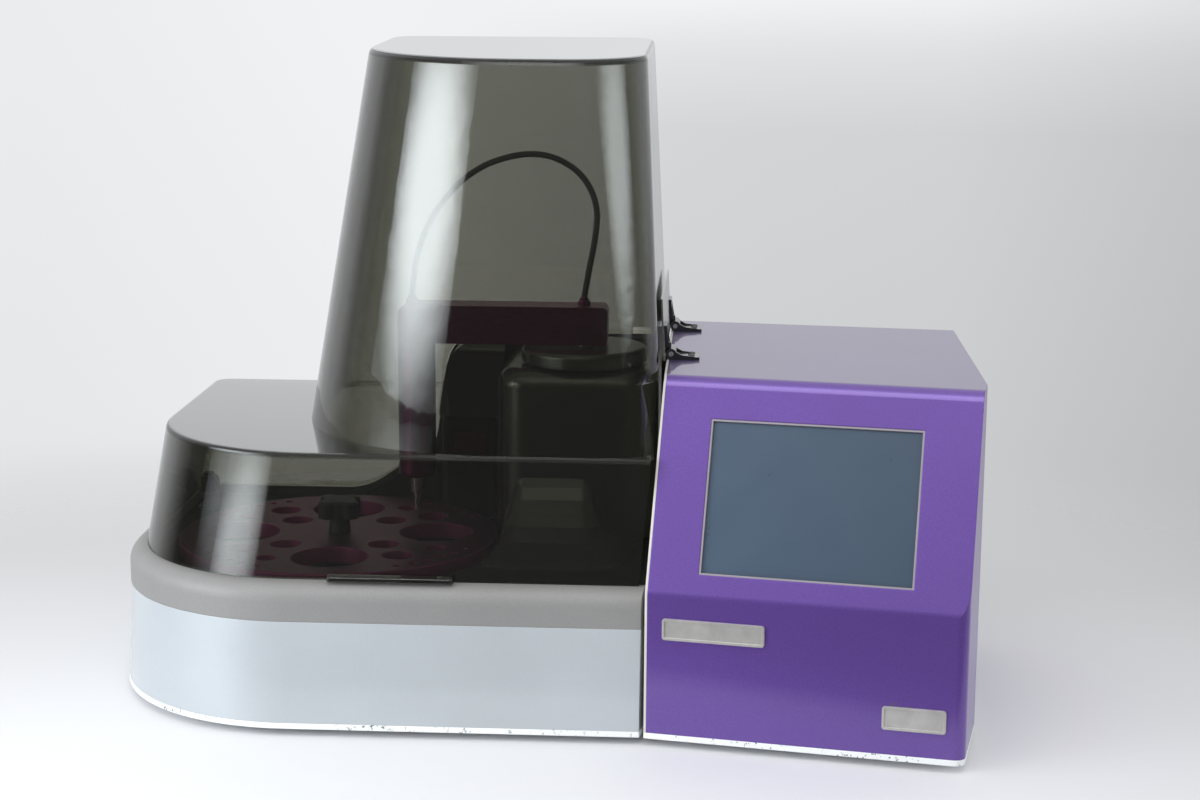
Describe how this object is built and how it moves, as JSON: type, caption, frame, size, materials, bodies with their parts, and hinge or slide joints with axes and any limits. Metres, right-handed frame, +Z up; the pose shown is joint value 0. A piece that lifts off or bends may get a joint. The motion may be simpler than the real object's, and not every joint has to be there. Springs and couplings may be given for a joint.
{
  "type": "automated cell separator",
  "caption": "Bench cell separator with a sample carousel and pipetting arm under a hinged smoked lid, and a sloping touch-screen console.",
  "frame": {"origin": "centre of the footprint's bounding box, at floor level under the rubber feet", "axes": "+X runs along the base's front edge to the right, towards the console; +Y from front to back; +Z up"},
  "size_m": [0.7338, 0.4249, 0.5599],
  "materials": {
    "tray_white": "thin white powder coat with worn flecks",
    "foot_rubber": "soft black rubber",
    "housing_silver": "glossy pale blue-grey lacquer",
    "band_champagne": "warm grey metallic lacquer",
    "deck_black": "black satin formed sheet",
    "tower_black": "black satin moulding",
    "plate_magenta": "magenta-purple anodised",
    "arm_magenta": "dark magenta anodised",
    "steel": "ground stainless steel",
    "bearing_bronze": "sintered bronze",
    "motor_black": "black painted steel",
    "alloy": "plain machined aluminium",
    "belt_rubber": "toothed belt rubber",
    "knob_black": "black moulded plastic",
    "tube_black": "soft black tubing",
    "gland_magenta": "magenta anodised",
    "smoked_clear": "smoked clear acrylic, polished",
    "clear_bar": "clear acrylic bar",
    "hinge_black": "black satin paint",
    "console_purple": "glossy purple metallic lacquer",
    "side_cream": "cream powder coat",
    "frame_cream": "cream moulded frame",
    "screen_glass": "dark slate-blue glass, switched off",
    "pewter": "cast pewter-coloured alloy",
    "panel_grey": "grey powder coat",
    "black_plastic": "black moulded plastic",
    "board_green": "green circuit board",
    "window_red": "dark red scanner window"
  },
  "bodies": {
    "base": {"chassis_tray": "tray_white", "rubber_feet": "foot_rubber", "base_housing": "housing_silver", "base_band": "band_champagne", "deck_liner": "deck_black", "tower_cover": "tower_black", "scanner_hood": "tower_black", "scanner_block": "deck_black", "scanner_window": "window_red", "lid_sensor": "black_plastic", "lid_sensor_bracket": "steel", "carousel_bearing": "bearing_bronze", "carousel_motor": "motor_black", "tower_column": "alloy", "turret_bearing": "bearing_bronze", "swing_motor": "motor_black", "swing_belt": "belt_rubber", "lift_motor": "motor_black", "hinge_fixed_leaves": "hinge_black", "hinge_pins": "steel", "hinge_screws": "hinge_black", "console_cover": "console_purple", "console_side_plate": "side_cream", "console_back": "panel_grey", "fan_frame": "black_plastic", "fan_guard": "steel", "mains_inlet": "black_plastic", "switch_housing": "black_plastic", "touch_screen": "screen_glass", "screen_frame": "frame_cream", "display_module": "panel_grey", "large_plate": "pewter", "small_plate": "pewter", "power_supply": "alloy", "controller_board": "board_green", "board_standoffs": "alloy", "fluid_pump": "motor_black"},
    "carousel": {"carousel_plate": "plate_magenta", "carousel_hub": "alloy", "carousel_spindle": "steel"},
    "knob": {"carousel_knob": "knob_black", "knob_stud": "steel"},
    "turret": {"turret_hub": "alloy", "turret_cap": "tower_black", "drive_pulley": "alloy"},
    "arm": {"lift_mast": "steel", "guide_rod": "steel", "arm_beam": "arm_magenta", "arm_leg": "arm_magenta", "probe_barrel": "steel", "probe_nozzle": "steel", "tube_glands": "gland_magenta", "arm_tube": "tube_black"},
    "drive": {"motor_pulley": "alloy"},
    "lid": {"lid_shell": "smoked_clear", "lid_handle": "clear_bar", "hinge_plate": "steel", "hinge_moving_leaves": "hinge_black"},
    "rocker": {"rocker_switch": "black_plastic"},
    "fan": {"fan_rotor": "black_plastic"}
  },
  "joints": [
    {"name": "carousel_spin", "type": "hinge", "parent": "base", "child": "carousel", "pos_m": [-0.18291, 0.01624, 0.121], "axis": [0, 0, 1], "continuous": true},
    {"name": "knob_turn", "type": "hinge", "parent": "carousel", "child": "knob", "pos_m": [-0.18291, 0.01624, 0.128], "axis": [0, 0, 1], "range_deg": [0, 360]},
    {"name": "arm_swing", "type": "hinge", "parent": "base", "child": "turret", "pos_m": [0.03009, 0.09024, 0.272], "axis": [0, 0, 1], "range_deg": [-8, 50]},
    {"name": "arm_lift", "type": "slide", "parent": "turret", "child": "arm", "axis": [0, 0, 1], "range_m": [0, 0.08]},
    {"name": "drive_spin", "type": "hinge", "parent": "base", "child": "drive", "pos_m": [0.03009, 0.14574, 0.222], "axis": [0, 0, 1], "range_deg": [-26, 162.5]},
    {"name": "lid_hinge", "type": "hinge", "parent": "base", "child": "lid", "pos_m": [0.11109, 0.05824, 0.301], "axis": [0, 1, 0], "range_deg": [0, 93]},
    {"name": "rocker_tip", "type": "hinge", "parent": "base", "child": "rocker", "pos_m": [0.21079, 0.16725, 0.057], "axis": [0, 0, 1], "range_deg": [-20, 0]},
    {"name": "fan_spin", "type": "hinge", "parent": "base", "child": "fan", "pos_m": [0.28913, 0.14962, 0.197], "axis": [0.1337, 0.991, 0], "continuous": true}
  ],
  "couplings": [
    {"joint": "drive_spin", "follows": "arm_swing", "ratio": 3.25}
  ]
}
